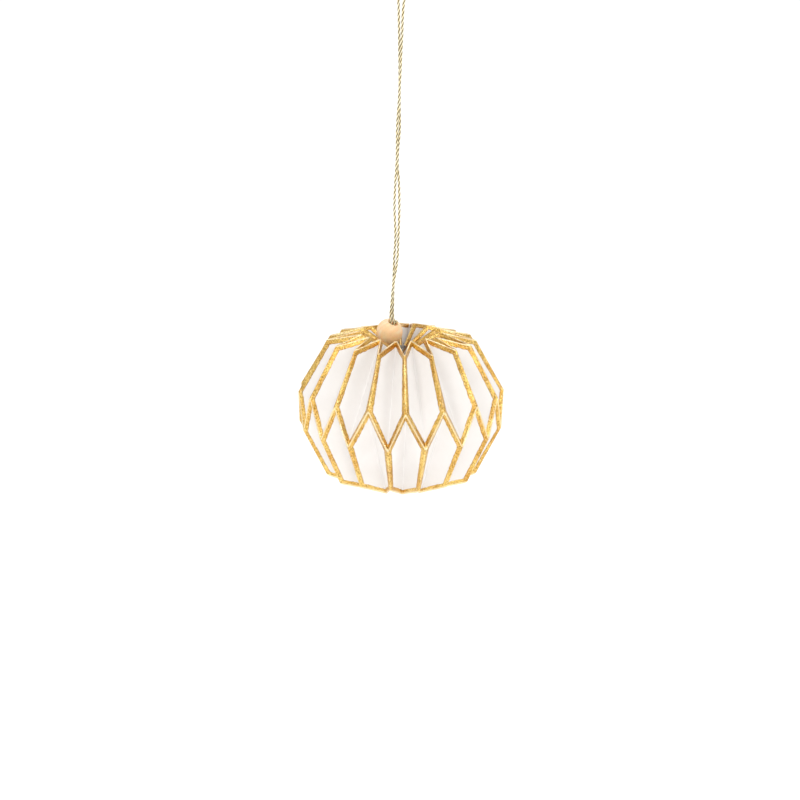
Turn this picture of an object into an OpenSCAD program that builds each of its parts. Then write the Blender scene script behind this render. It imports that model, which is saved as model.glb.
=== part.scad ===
// Pleated paper ball ornament, hung from a bead on a twisted cord loop.
// The ball is one sheet, folded in straight pleats with three zigzag reverse
// folds round it, so its ridges change places at the shoulders and the equator.
// All sizes are in millimetres. The origin is the top of the cord loop.

/* [Ball] */
// Number of pleats round the ball
pleats = 17; // [14:1:20]
// Radius of the ridge ends beside the equator
ball_r = 40; // [38:0.5:48]
// Height of those ridge ends above and below the equator
ridge_end_z = 6.8; // [5:0.2:8]
// Drop from the top of the cord loop to the middle of the ball
hang = 166; // [160:1:190]
// Turn of the seam about the ball's axis, from the front
seam_angle = 173; // [150:1:200]

/* [Top of the ball] */
// Radius of the outer points of the top shoulder
top_shoulder_r = 28.6; // [26:0.2:31]
// Height of the outer points of the top shoulder
top_shoulder_z = 26.4; // [25:0.2:29]
// Radius of the inner points of the top shoulder
top_nape_r = 16.2; // [15.6:0.2:19]
// Height of the inner points of the top shoulder
top_nape_z = 29.2; // [28:0.2:31]

/* [Underside of the ball] */
// Radius of the outer points of the bottom shoulder
bottom_shoulder_r = 30.6; // [28:0.2:32]
// Depth of the outer points of the bottom shoulder
bottom_shoulder_z = 25.8; // [24:0.2:28]
// Radius of the inner points of the bottom shoulder
bottom_nape_r = 18.6; // [17:0.2:21]
// Depth of the inner points of the bottom shoulder
bottom_nape_z = 30.6; // [29:0.2:32]

/* [Dimples] */
// Length of the ridges that run from the shoulder in to the middle
dimple_ridge = 13.5; // [11:0.5:14.5]
// Extra length of the creases between those ridges
dimple_step = 8; // [6:0.5:9]
// Slope of the dimple's ridges, in degrees
ridge_slope = 27.5; // [22:0.5:32]
// Slope of the dimple's creases, in degrees
crease_slope = 30; // [26:0.5:36]

/* [Paper] */
// Thickness of the paper
paper_t = 0.3; // [0.2:0.02:0.36]
// Width of the blunt turn at each fold
fold_w = 0.46; // [0.42:0.02:0.6]
// Width of the gilding on each side of a ridge
gilt_w = 1.6; // [1:0.1:1.8]
// Thickness of the gilding
gilt_t = 0.06; // [0.04:0.01:0.1]
// Width of the end flap that laps over the first panel
flap_w = 7; // [6:0.5:7.5]
// Trim of the first panel's edge, under the flap's fold
edge_trim = 0.6; // [0.5:0.1:0.9]
// Clearance between the lapped panels
lap_clear = 0.1; // [0.08:0.02:0.2]

/* [Seam magnets] */
// Diameter of each magnet
magnet_d = 4.6; // [3:0.2:5]
// Thickness of each magnet
magnet_t = 0.6; // [0.4:0.1:0.8]
// Thickness of the glue bed under each magnet
glue_t = 0.25; // [0.2:0.05:0.4]
// Distance of the magnets from the crease that the flap folds at
magnet_inset = 4; // [3.4:0.1:4.2]

/* [Gathering threads] */
// Diameter of the threads that gather the ends of the pleats
thread_d = 0.5; // [0.3:0.1:0.8]
// Diameter of the punched holes that the threads run through
hole_d = 2.2; // [1.8:0.1:2.6]
// Distance of the holes from the ends of the pleats
hole_inset = 4.5; // [4:0.1:5.5]
// Diameter of the small knot that closes the bottom thread
thread_knot_d = 1.2; // [1:0.1:1.4]

/* [Bead] */
// Diameter of the bead
bead_d = 10.2; // [9:0.2:12]
// Diameter of the bead's bore
bore_d = 3.8; // [3.4:0.1:4.4]
// Width of the eased edge at each end of the bore
bore_ease = 0.3; // [0.2:0.1:0.5]
// Offset of the bead to the left of the ball's axis
bead_off = 4.6; // [3:0.2:5.4]
// Lean of the bead's bore from upright, in degrees
bead_lean = 27; // [20:1:32]
// Direction of that lean, in degrees from the right towards the front
bead_turn = 45; // [30:1:60]
// Clearance of the bead over the ridges that it lies on
bead_clear = 0.1; // [0.05:0.05:0.3]

/* [Cord] */
// Diameter of the cord
cord_d = 1; // [0.8:0.1:1.1]
// Diameter of the knot inside the bead
knot_d = 3.2; // [2.8:0.1:3.3]
// Length of the knot inside the bead
knot_len = 3.2; // [2.6:0.1:3.4]

/* [Hidden] */

lines = 2 * pleats;
half_pitch = 180 / pleats;
paper_half = paper_t / 2;

// Points of the two kinds of fold line, as radius and height, from the top end of
// the sheet to its bottom end. Even lines carry the ridges of the upper half.
top_nape = [top_nape_r, top_nape_z];
top_shoulder = [top_shoulder_r, top_shoulder_z];
bottom_nape = [bottom_nape_r, -bottom_nape_z];
bottom_shoulder = [bottom_shoulder_r, -bottom_shoulder_z];
ridge_run = dimple_ridge * [-cos(ridge_slope), -sin(ridge_slope)];
crease_run = (dimple_ridge + dimple_step) * [-cos(crease_slope), -sin(crease_slope)];

function upturned(v) = [v[0], -v[1]];

even_line = [top_shoulder + crease_run, top_shoulder, [ball_r, ridge_end_z],
             bottom_nape, bottom_nape + upturned(ridge_run)];
odd_line = [top_nape + ridge_run, top_nape, [ball_r, -ridge_end_z],
            bottom_shoulder, bottom_shoulder + upturned(crease_run)];

function line_of(j) = j % 2 == 0 ? even_line : odd_line;
function azimuth(j) = seam_angle + j * half_pitch;
function tangent(j) = [cos(azimuth(j)), sin(azimuth(j)), 0];
function place(p, j) = [p[0] * sin(azimuth(j)), -p[0] * cos(azimuth(j)), p[1]];
function unit(v) = v / norm(v);
function blend(a, b, share) = a + (b - a) * share;

// Width of a pleat, measured square to its folds in the upper half
upper_crease_dir = unit(place(odd_line[2], 1) - place(odd_line[1], 1));
across_upper = place(even_line[1], 0) - place(odd_line[1], 1);
pleat_w = norm(cross(across_upper, upper_crease_dir));
gilt_share = gilt_w / pleat_w;

// Distance along the fold lines from a zigzag fold to the edge of its gilding
function gilt_reach(b) = gilt_share * norm(place(even_line[b], 0) - place(odd_line[b], 1));

// Rows of points down the sheet, each as its band and its place in the band:
// at its start, beside its start, in its middle or beside its end
START = 0;
AFTER_START = 1;
MIDDLE_UPPER = 2;
MIDDLE_LOWER = 3;
BEFORE_END = 4;
middle_shares = [0.36, 0.64];
rows = [[0, START], [0, MIDDLE_UPPER], [0, BEFORE_END],
        for (b = [1, 2]) each [[b, START], [b, AFTER_START], [b, MIDDLE_UPPER],
                               [b, MIDDLE_LOWER], [b, BEFORE_END]],
        [3, START], [3, AFTER_START], [3, MIDDLE_LOWER], [4, START]];

function along(line, b, k) =
    k == START ? line[b] :
    k == AFTER_START ? line[b] + gilt_reach(b) * unit(line[b + 1] - line[b]) :
    k == BEFORE_END ? line[b + 1] - gilt_reach(b + 1) * unit(line[b + 1] - line[b]) :
    blend(line[b], line[b + 1], middle_shares[k - MIDDLE_UPPER]);

function fold_point(i, j) = place(along(line_of(j), rows[i][0], rows[i][1]), j);
function fold_side(i, j, side) = fold_point(i, j) + side * fold_w / 2 * tangent(j);

// The flap laps over the first panel in the upper and the lower half, clear of the
// zigzag folds. This is the shift that lays it there, from the first panel's normals,
// and it is larger where the two magnets lie between them.
last_row = len(rows) - 1;
first_panel_normals = [for (i = [0 : last_row - 1])
    unit(cross(fold_side(i + 1, 1, -1) - fold_side(i, 0, 1),
               fold_side(i, 1, -1) - fold_side(i + 1, 0, 1)))];
function spread(n, m) = (n + m) / (1 + n * m);
function magnet_row(i) = rows[i][0] == 2 && (rows[i][1] == MIDDLE_UPPER || rows[i][1] == MIDDLE_LOWER);
function lap_start(i) = rows[i][0] == 1 ? MIDDLE_UPPER : AFTER_START;
function lapped_row(i) = (rows[i][0] == 1 || rows[i][0] == 2) && rows[i][1] >= lap_start(i);
function lap_gap(i) =
    !lapped_row(i) ? 0 :
    magnet_row(i) ? paper_t + 2 * (magnet_t + glue_t) :
    paper_t + lap_clear;
flap_shifts = [for (i = [0 : last_row])
    lap_gap(i) * spread(first_panel_normals[max(i - 1, 0)],
                        first_panel_normals[min(i, last_row - 1)])];

// The grid of points on the middle of the paper, row by row
function pleat_side(i, j, side) = fold_side(i, j, side) + (j >= lines ? flap_shifts[i] : [0, 0, 0]);
function sheet_row(i) = let (
    left = [for (j = [0 : lines + 1]) pleat_side(i, j, -1)],
    right = [for (j = [0 : lines + 1]) pleat_side(i, j, 1)])
    [blend(right[0], left[1], edge_trim / pleat_w),
     blend(right[0], left[1], edge_trim / pleat_w + gilt_share),
     for (j = [1 : lines]) each [
        blend(left[j], right[j - 1], gilt_share), left[j], right[j],
        blend(right[j], left[j + 1], gilt_share)],
     blend(right[lines], left[lines + 1], flap_w / pleat_w)];

sheet = [for (i = [0 : last_row]) sheet_row(i)];
last_col = len(sheet[0]) - 1;

// Outward normal of each cell, and the offset at each point that gives its cells
// half the paper's thickness
cell_normals = [for (i = [0 : last_row - 1]) [for (c = [0 : last_col - 1])
    unit(cross(sheet[i + 1][c + 1] - sheet[i][c], sheet[i][c + 1] - sheet[i + 1][c]))]];

function outer_product(n) = [n[0] * n, n[1] * n, n[2] * n];
function total(list, i = 0) = i == len(list) - 1 ? list[i] : list[i] + total(list, i + 1);
function solve(m, v) =
    (v[0] * cross(m[1], m[2]) + v[1] * cross(m[2], m[0]) + v[2] * cross(m[0], m[1]))
    / (m[0] * cross(m[1], m[2]));
spike_limit = 0.03 * [[1, 0, 0], [0, 1, 0], [0, 0, 1]];
function in_flap(i) = lapped_row(i) && rows[i][1] != BEFORE_END;
function in_sheet(i, c) = i >= 0 && i < last_row && c >= 0 && c < last_col
    && (c < last_col - 3 || in_flap(i));
function normals_at(i, c) = [for (a = [i - 1, i]) for (b = [c - 1, c])
    if (in_sheet(a, b)) cell_normals[a][b]];
function point_offset(i, c) = let (ns = normals_at(i, c))
    len(ns) == 0 ? [0, 0, 0] :
    solve(total([for (n = ns) outer_product(n)]) + spike_limit, total(ns));
offsets = [for (i = [0 : last_row]) [for (c = [0 : last_col]) point_offset(i, c)]];

// Whether a column of cells is at a fold line, and whether a cell is gilded: the
// ridges are on even lines in the upper half and under the ball
function line_at(c) = c < 2 ? 0 : floor((c - 2) / 4) + 1;
function near_fold(c) = c == 0 || (c >= 2 && (c - 2) % 4 < 3);
function ridge_band(b, j) = j % 2 == 0 ? (b == 1 || b == 3) : (b == 0 || b == 2);
function beside_zigzag(i) = rows[i][1] == BEFORE_END || (rows[i][0] > 0 && rows[i][1] == START);
function gilded(i, c) = beside_zigzag(i) || (near_fold(c) && ridge_band(rows[i][0], line_at(c)));

function point_number(i, c, level) = (level * (last_row + 1) + i) * (last_col + 1) + c;
function split(a, b, c, d) = [[a, b, c], [a, c, d]];

// A layer of the sheet from one depth to another, over all of it or the gilding
module layer(low, high, gilding) {
    function has(i, c) = in_sheet(i, c) && (!gilding || gilded(i, c));
    function n(i, c, level) = point_number(i, c, level);
    points = [for (depth = [low, high]) for (i = [0 : last_row]) for (c = [0 : last_col])
        sheet[i][c] + depth * offsets[i][c]];
    faces = [for (i = [0 : last_row - 1]) for (c = [0 : last_col - 1]) if (has(i, c)) each concat(
        split(n(i, c, 1), n(i, c + 1, 1), n(i + 1, c + 1, 1), n(i + 1, c, 1)),
        [for (f = split(n(i, c, 0), n(i, c + 1, 0), n(i + 1, c + 1, 0), n(i + 1, c, 0))) [f[2], f[1], f[0]]],
        has(i - 1, c) ? [] : split(n(i, c + 1, 1), n(i, c, 1), n(i, c, 0), n(i, c + 1, 0)),
        has(i, c + 1) ? [] : split(n(i + 1, c + 1, 1), n(i, c + 1, 1), n(i, c + 1, 0), n(i + 1, c + 1, 0)),
        has(i + 1, c) ? [] : split(n(i + 1, c, 1), n(i + 1, c + 1, 1), n(i + 1, c + 1, 0), n(i + 1, c, 0)),
        has(i, c - 1) ? [] : split(n(i, c, 1), n(i + 1, c, 1), n(i + 1, c, 0), n(i, c, 0)))];
    polyhedron(points, faces, convexity = 10);
}

module at_ball() {
    translate([0, 0, -hang]) children();
}

// Circle through the middle of each panel, at the holes near one end of the sheet
function hole_point(end_a, next_a, end_b, next_b) =
    (place(end_a + hole_inset * unit(next_a - end_a), 0)
     + place(end_b + hole_inset * unit(next_b - end_b), 1)) / 2;
top_hole = hole_point(even_line[0], even_line[1], odd_line[0], odd_line[1]);
bottom_hole = hole_point(even_line[4], even_line[3], odd_line[4], odd_line[3]);
function ring_r(point) = norm([point[0], point[1]]);

module ring(point, d, sides) {
    translate([0, 0, point[2]]) rotate_extrude($fn = 96)
        translate([ring_r(point), 0]) circle(d = d, $fn = sides);
}

// A straight piece of thread from one point to another
module rod(a, b, d) {
    v = b - a;
    translate(a) rotate([0, acos(v[2] / norm(v)), atan2(v[1], v[0])])
        cylinder(h = norm(v), d = d, $fn = 8);
}

// A small knot on a thread
module thread_knot(point) {
    translate(point) sphere(d = thread_knot_d, $fn = 10);
}

// Place and lean of the bead, on the ridges of the top dimple, which stand out from
// the middle of the paper by a little over half its thickness
bead_r = bead_d / 2;
crown_share = 1.5;
ridge_proud = crown_share * paper_half + gilt_t;
bead_centre = [-bead_off, 0, top_nape_z - (top_nape_r - bead_off) * tan(ridge_slope)
               + (bead_r + ridge_proud + bead_clear) / cos(ridge_slope)];
bead_axis = [sin(bead_lean) * cos(bead_turn), -sin(bead_lean) * sin(bead_turn), cos(bead_lean)];
bore_end = sqrt(pow(bead_r, 2) - pow(bore_d / 2, 2));

module at_bead() {
    at_ball() translate(bead_centre) rotate([0, bead_lean, -bead_turn]) children();
}

// Foot of the thread's tail below the bead, and the crease that it runs into
tail_foot = bead_centre - (bore_end + thread_d) * bead_axis;
tail_line = 2 * round((atan2(tail_foot[0], -tail_foot[1]) - seam_angle) / (2 * half_pitch));
tail_end = place([ring_r(top_hole), top_hole[2]], tail_line);

// Crease under the ball that holds the bottom thread's knot
bottom_knot_line = 2 * floor(pleats / 2) + 1;

// Middle of the first panel where the magnets sit, and the panel's normal there
magnet_cell = [for (i = [0 : last_row]) if (rows[i] == [2, MIDDLE_UPPER]) i][0];
magnet_normal = first_panel_normals[magnet_cell];
function panel_point(i) = blend(fold_side(i, 0, 1), fold_side(i, 1, -1), magnet_inset / pleat_w);
magnet_seat = (panel_point(magnet_cell) + panel_point(magnet_cell + 1)) / 2;

module seam_magnet(lift) {
    at_ball() translate(magnet_seat)
        rotate([0, acos(magnet_normal[2]), atan2(magnet_normal[1], magnet_normal[0])])
            translate([0, 0, paper_half + glue_t + lift])
                cylinder(h = magnet_t, d = magnet_d, $fn = 48);
}

// Route of the cord, from the knot up its left strand, over the top of the loop and
// down its right strand, with the two strands twisted once round each other
left_strand = [
    [-4.75, -0.75, -135], [-4.35, -1.2, -133.7], [-4, -1.85, -132.1], [-4.25, -1.95, -130],
    [-3.9, -2.1, -125.5], [-3.25, -1.9, -118], [-1.8, -1.1, -108.5], [-1.4, -0.4, -99],
    [-1.15, -0.2, -88], [-1.4, 0.1, -78.5], [-1.95, 0.5, -70.4], [-1.2, 0.5, -58.5],
    [-1.35, 0.6, -50], [-1.4, 0.6, -40], [-1.65, 0.2, -26], [-2, 0, -12.7],
    [-2.3, 0, -3.2]];
loop_top = [[-1.7, 0, -1.2], [0, 0, -0.5], [1.7, 0, -1.2]];
right_strand = [
    [2.3, 0, -3.2], [0, 0, -12.7], [-0.65, -0.3, -26], [-1.2, -0.55, -40],
    [-1.7, -0.6, -50], [-2.2, -0.7, -58.5], [-2.25, -0.7, -70.4], [-2.7, -0.5, -78.5],
    [-3, -0.3, -88], [-2.55, -0.3, -99], [-3, -0.2, -108.5], [-3.2, -0.7, -118],
    [-3.3, -1.05, -125.5], [-3.3, -1.25, -130], [-2.95, -1.35, -132.5], [-3.1, -1, -134],
    [-3.55, -0.45, -135.3]];
route = concat(left_strand, loop_top, right_strand);

// Points on a smooth curve through the route, two for each of its stretches
cord_steps = 2;
cord_sides = 8;
last_stop = len(route) - 1;
function curve_point(i, t) = let (
    a = route[max(i - 1, 0)], b = route[i],
    c = route[i + 1], d = route[min(i + 2, last_stop)])
    (2 * b + (c - a) * t + (2 * a - 5 * b + 4 * c - d) * pow(t, 2)
     + (3 * b - a - 3 * c + d) * pow(t, 3)) / 2;
cord_path = [for (i = [0 : last_stop - 1]) for (k = [0 : cord_steps - 1])
    curve_point(i, k / cord_steps), route[last_stop]];

// A tube swept along a path that stays clear of the Y direction
module tube(path, d, sides) {
    last = len(path) - 1;
    function across(i) = unit(cross([0, 1, 0], path[min(i + 1, last)] - path[max(i - 1, 0)]));
    function over(i) = unit(cross(path[min(i + 1, last)] - path[max(i - 1, 0)], across(i)));
    points = [for (i = [0 : last]) for (k = [0 : sides - 1])
        path[i] + d / 2 * (cos(k * 360 / sides) * across(i) + sin(k * 360 / sides) * over(i))];
    walls = [for (i = [0 : last - 1]) for (k = [0 : sides - 1]) each split(
        i * sides + k, (i + 1) * sides + k,
        (i + 1) * sides + (k + 1) % sides, i * sides + (k + 1) % sides)];
    polyhedron(points, concat(walls, [[for (k = [0 : sides - 1]) k]],
                              [[for (k = [sides - 1 : -1 : 0]) last * sides + k]]));
}

module paper_ball() color("ivory") at_ball() difference() {
    layer(-paper_half, paper_half, false);
    ring(top_hole, hole_d, 16);
    ring(bottom_hole, hole_d, 16);
}

module gilt_edging() color("gold") at_ball() layer(paper_half, paper_half + gilt_t, true);

module inner_magnet() color("dimgray") seam_magnet(0);

module outer_magnet() color("dimgray") seam_magnet(magnet_t);

module top_thread() color("white") at_ball() {
    ring(top_hole, thread_d, 8);
    rod(bead_centre - knot_len / 2 * bead_axis, tail_foot, thread_d);
    rod(tail_foot, tail_end, thread_d);
    thread_knot(tail_foot);
    thread_knot(tail_end);
}

module bottom_thread() color("white") at_ball() {
    ring(bottom_hole, thread_d, 8);
    thread_knot(place([ring_r(bottom_hole), bottom_hole[2]], bottom_knot_line));
}

module bead() color("burlywood") at_bead() difference() {
    sphere(d = bead_d, $fn = 64);
    cylinder(h = bead_d, d = bore_d, center = true, $fn = 48);
    for (turn = [0, 180]) rotate([turn, 0, 0]) translate([0, 0, bore_end - bore_ease])
        cylinder(h = bead_r, r1 = bore_d / 2, r2 = bore_d / 2 + bead_r, $fn = 48);
}

// The knot is a barrel with narrower ends
knot_r = knot_d / 2;
knot_end_r = 0.75 * knot_r;

module cord_knot() color("goldenrod") at_bead() rotate_extrude($fn = 32) polygon([
    [0, -knot_len / 2], [knot_end_r, -knot_len / 2], [knot_r, -knot_len / 4],
    [knot_r, knot_len / 4], [knot_end_r, knot_len / 2], [0, knot_len / 2]]);

module hanging_cord() color("goldenrod") tube(cord_path, cord_d, cord_sides);

paper_ball();
gilt_edging();
inner_magnet();
outer_magnet();
top_thread();
bottom_thread();
bead();
cord_knot();
hanging_cord();
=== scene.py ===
"""Looks of a pleated paper ball ornament that hangs from a bead on a twisted cord loop.

All sizes are in metres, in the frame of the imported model: its origin is the top of the
cord loop, +Z is up and -Y is the front.
"""

import logging
import math
from dataclasses import dataclass, field
from enum import Enum

import bmesh
import bpy
import numpy as np
from mathutils import Matrix, Vector


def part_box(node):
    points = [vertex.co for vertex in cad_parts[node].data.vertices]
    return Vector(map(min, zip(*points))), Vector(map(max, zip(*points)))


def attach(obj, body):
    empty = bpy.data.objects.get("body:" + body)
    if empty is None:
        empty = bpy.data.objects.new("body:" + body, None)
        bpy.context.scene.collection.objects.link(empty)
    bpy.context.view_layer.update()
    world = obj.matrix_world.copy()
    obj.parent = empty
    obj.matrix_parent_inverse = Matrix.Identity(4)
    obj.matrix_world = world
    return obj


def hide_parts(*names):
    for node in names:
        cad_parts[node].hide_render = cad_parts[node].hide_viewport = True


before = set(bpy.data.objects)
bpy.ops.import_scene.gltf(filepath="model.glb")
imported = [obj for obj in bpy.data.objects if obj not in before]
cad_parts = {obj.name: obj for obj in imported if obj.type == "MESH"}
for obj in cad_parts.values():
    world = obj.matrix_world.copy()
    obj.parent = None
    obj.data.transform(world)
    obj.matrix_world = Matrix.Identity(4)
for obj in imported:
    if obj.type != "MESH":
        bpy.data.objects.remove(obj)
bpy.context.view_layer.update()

LOG = logging.getLogger("ornament")
MM = 0.001
HANG = 166 * MM
IMAGE_SIDE = 800
TINY = 1e-12
SHEET_SEED, FOIL_SEED = 17, 5
LAP_STOPS = (1.06, 1.36, 1.64, 1.93, 2.0, 2.06, 2.36, 2.64, 2.94, 3.0)
LAP_GAPS_MM = (0, 0.4, 0.4, 0.4, 0, 0.4, 2.0, 2.0, 0.4, 0)
FLAP_ROWS = ((1.36, 1.93), (2.06, 2.94))


class Part(Enum):
    """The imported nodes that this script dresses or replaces."""

    PAPER = "paper_ball"
    GILT = "gilt_edging"
    INNER_MAGNET = "inner_magnet"
    OUTER_MAGNET = "outer_magnet"
    TOP_THREAD = "top_thread"
    BOTTOM_THREAD = "bottom_thread"
    BEAD = "bead"
    KNOT = "cord_knot"
    CORD = "hanging_cord"


class Slot(Enum):
    """The record's material slots."""

    PAPER = "paper"
    GILDING = "gilding"
    MAGNET = "magnet"
    THREAD = "thread"
    WOOD = "bead_wood"
    CORD = "cord"


class End(Enum):
    """The two ends of the sheet, by the sign of the ball's height there."""

    TOP = 1
    BOTTOM = -1


def deselect_all() -> None:
    """Leaves nothing selected, so that an operator acts on one new piece alone."""
    if bpy.context.object and bpy.context.object.mode != "OBJECT":
        bpy.ops.object.mode_set(mode="OBJECT")
    bpy.ops.object.select_all(action="DESELECT")


def make_active(piece: bpy.types.Object) -> None:
    """Selects one object alone and makes it active.

    Args:
        piece: The object.
    """
    deselect_all()
    piece.select_set(True)
    bpy.context.view_layer.objects.active = piece


def apply_modifier(piece: bpy.types.Object, kind: str, **settings: object) -> None:
    """Adds one modifier to a piece and applies it.

    Args:
        piece: The object.
        kind: Blender's name for the modifier type.
        settings: The modifier's own settings.
    """
    make_active(piece)
    modifier = piece.modifiers.new(kind.title(), kind)
    for name, value in settings.items():
        setattr(modifier, name, value)
    bpy.ops.object.modifier_apply(modifier=modifier.name)


def place_in_mesh(piece: bpy.types.Object) -> None:
    """Applies a piece's place and turn to its mesh, so its object is at the origin.

    Args:
        piece: The object.
    """
    make_active(piece)
    bpy.ops.object.transform_apply(location=True, rotation=True, scale=True)


def smooth(piece: bpy.types.Object, degrees: float) -> None:
    """Shades a piece smoothly, except at edges sharper than an angle.

    Args:
        piece: The object.
        degrees: The angle.
    """
    make_active(piece)
    bpy.ops.object.shade_smooth_by_angle(angle=math.radians(degrees))


def unit(vectors: np.ndarray) -> np.ndarray:
    """Gives vectors a length of one, and leaves those of no length at zero.

    Args:
        vectors: The vectors.

    Returns:
        The unit vectors.
    """
    return vectors / np.maximum(np.linalg.norm(vectors, axis=-1, keepdims=True), TINY)


def join_pieces(pieces: list[bpy.types.Object], name: str) -> bpy.types.Object:
    """Joins several objects into one.

    Args:
        pieces: The objects, of which the first takes in the others.
        name: The name of the joined piece.

    Returns:
        The joined object.
    """
    deselect_all()
    for piece in pieces:
        piece.select_set(True)
    bpy.context.view_layer.objects.active = pieces[0]
    if len(pieces) > 1:
        bpy.ops.object.join()
    joined = bpy.context.view_layer.objects.active
    joined.name = name
    joined.data.name = name
    return joined


def dress(piece: bpy.types.Object, material: bpy.types.Material, slot: Slot) -> None:
    """Gives a piece its one material and its body, and logs the name of its slot in the record.

    Args:
        piece: The object.
        material: The finish.
        slot: The record's slot.
    """
    piece.data.materials.clear()
    piece.data.materials.append(material)
    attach(piece, "root")
    LOG.info("%s: %d faces in %s", piece.name, len(piece.data.polygons), slot.value)


# Node trees

Socket = bpy.types.NodeSocket


@dataclass
class Tree:
    """A small helper that adds and links nodes in one node tree."""

    tree: bpy.types.NodeTree

    def link(self, source: Socket, target: Socket) -> None:
        """Links a node's output to another's input, in place of an earlier link.

        Args:
            source: The output.
            target: The input.
        """
        self.tree.links.new(source, target)

    def place(self) -> Socket:
        """Gives the shaded point's place on its object."""
        return self.add("ShaderNodeTexCoord").outputs["Object"]

    def add(self, kind: str, inputs: dict[str | int, object] | None = None,
            **settings: object) -> bpy.types.Node:
        """Adds a node.

        Args:
            kind: The node's Blender type name.
            inputs: Values or sockets for its inputs, by name or number.
            settings: The node's own properties.

        Returns:
            The new node.
        """
        node = self.tree.nodes.new(kind)
        for name, value in settings.items():
            setattr(node, name, value)
        for key, value in (inputs or {}).items():
            if isinstance(value, Socket):
                self.link(value, node.inputs[key])
            else:
                node.inputs[key].default_value = value
        return node

    def math(self, operation: str, *values: object) -> Socket:
        """Adds a math node.

        Args:
            operation: Blender's name for the operation.
            values: Its inputs, as numbers or sockets.

        Returns:
            The result's socket.
        """
        return self.add("ShaderNodeMath", dict(enumerate(values)), operation=operation).outputs[0]

    def noise(self, vector: Socket, scale: float, detail: float = 3.0,
              distortion: float = 0.0) -> Socket:
        """Adds a noise texture.

        Args:
            vector: The coordinates.
            scale: Its scale.
            detail: Its octaves.
            distortion: How far it is warped.

        Returns:
            The socket with the noise value.
        """
        return self.add("ShaderNodeTexNoise", {
            "Vector": vector, "Scale": scale, "Detail": detail,
            "Distortion": distortion}).outputs[0]

    def ramp(self, value: Socket, low: float, high: float, out_low: float = 0.0,
             out_high: float = 1.0) -> Socket:
        """Maps a value from one range to another, smoothly and clamped.

        Args:
            value: The value.
            low: The start of its range.
            high: The end of its range.
            out_low: The result at the start.
            out_high: The result at the end.

        Returns:
            The mapped value's socket.
        """
        return self.add("ShaderNodeMapRange", {
            "Value": value, "From Min": low, "From Max": high,
            "To Min": out_low, "To Max": out_high},
            interpolation_type="SMOOTHSTEP").outputs[0]

    def mix(self, share: Socket | float, first: object, second: object) -> Socket:
        """Mixes two colours.

        Args:
            share: The second colour's share.
            first: The first colour.
            second: The second colour.

        Returns:
            The mixed colour's socket.
        """
        node = self.add("ShaderNodeMix", {0: share, 6: first, 7: second}, data_type="RGBA")
        return node.outputs[2]


def new_group(name: str, inputs: list[tuple[str, str, object]],
              outputs: list[tuple[str, str]]) -> tuple[bpy.types.NodeTree, Tree,
                                                       bpy.types.Node, bpy.types.Node]:
    """Starts a node group that several finishes share.

    Args:
        name: The group's name.
        inputs: Name, socket type and default value of each input.
        outputs: Name and socket type of each output.

    Returns:
        The group, its helper, and its input and output nodes.
    """
    group = bpy.data.node_groups.new(name, "ShaderNodeTree")
    for label, kind, value in inputs:
        socket = group.interface.new_socket(label, in_out="INPUT", socket_type=kind)
        if value is not None:
            socket.default_value = value
    for label, kind in outputs:
        group.interface.new_socket(label, in_out="OUTPUT", socket_type=kind)
    tree = Tree(group)
    return group, tree, tree.add("NodeGroupInput"), tree.add("NodeGroupOutput")


def mottle_group() -> bpy.types.NodeTree:
    """Builds the group that varies a colour over a surface and roughens it.

    Returns:
        A group with a colour, a roughness and a height for a bump.
    """
    group, tree, source, sink = new_group(
        "Mottle",
        [("Vector", "NodeSocketVector", None), ("Scale", "NodeSocketFloat", 1.0),
         ("Light", "NodeSocketColor", (1, 1, 1, 1)), ("Dark", "NodeSocketColor", (0, 0, 0, 1)),
         ("Roughness", "NodeSocketFloat", 0.5), ("Spread", "NodeSocketFloat", 0.1)],
        [("Color", "NodeSocketColor"), ("Roughness", "NodeSocketFloat"),
         ("Height", "NodeSocketFloat")])
    scaled = tree.add("ShaderNodeVectorMath", {0: source.outputs["Vector"],
                                               3: source.outputs["Scale"]},
                      operation="SCALE").outputs[0]
    broad = tree.noise(scaled, 1.0, 3.0)
    fine = tree.noise(scaled, 14.0, 4.0)
    share = tree.ramp(broad, 0.35, 0.65)
    both = tree.math("ADD", tree.math("MULTIPLY", share, 0.7), tree.math("MULTIPLY", fine, 0.3))
    color = tree.mix(both, source.outputs["Light"], source.outputs["Dark"])
    swing = tree.math("MULTIPLY", tree.math("SUBTRACT", fine, 0.5), source.outputs["Spread"])
    tree.link(color, sink.inputs["Color"])
    tree.link(tree.math("ADD", source.outputs["Roughness"], swing),
                        sink.inputs["Roughness"])
    tree.link(fine, sink.inputs["Height"])
    return group


MOTTLE = mottle_group()


def new_material(name: str, **shader: object) -> tuple[bpy.types.Material, Tree,
                                                        bpy.types.Node]:
    """Starts a material with one Principled shader.

    Args:
        name: The material's name.
        shader: Constant inputs of the shader, with spaces written as underscores.

    Returns:
        The material, its tree helper and its shader.
    """
    material = bpy.data.materials.new(name)
    material.use_nodes = True
    tree = Tree(material.node_tree)
    principled = next(n for n in material.node_tree.nodes if n.type == "BSDF_PRINCIPLED")
    for label, value in shader.items():
        principled.inputs[label.replace("_", " ")].default_value = value
    return material, tree, principled


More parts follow.
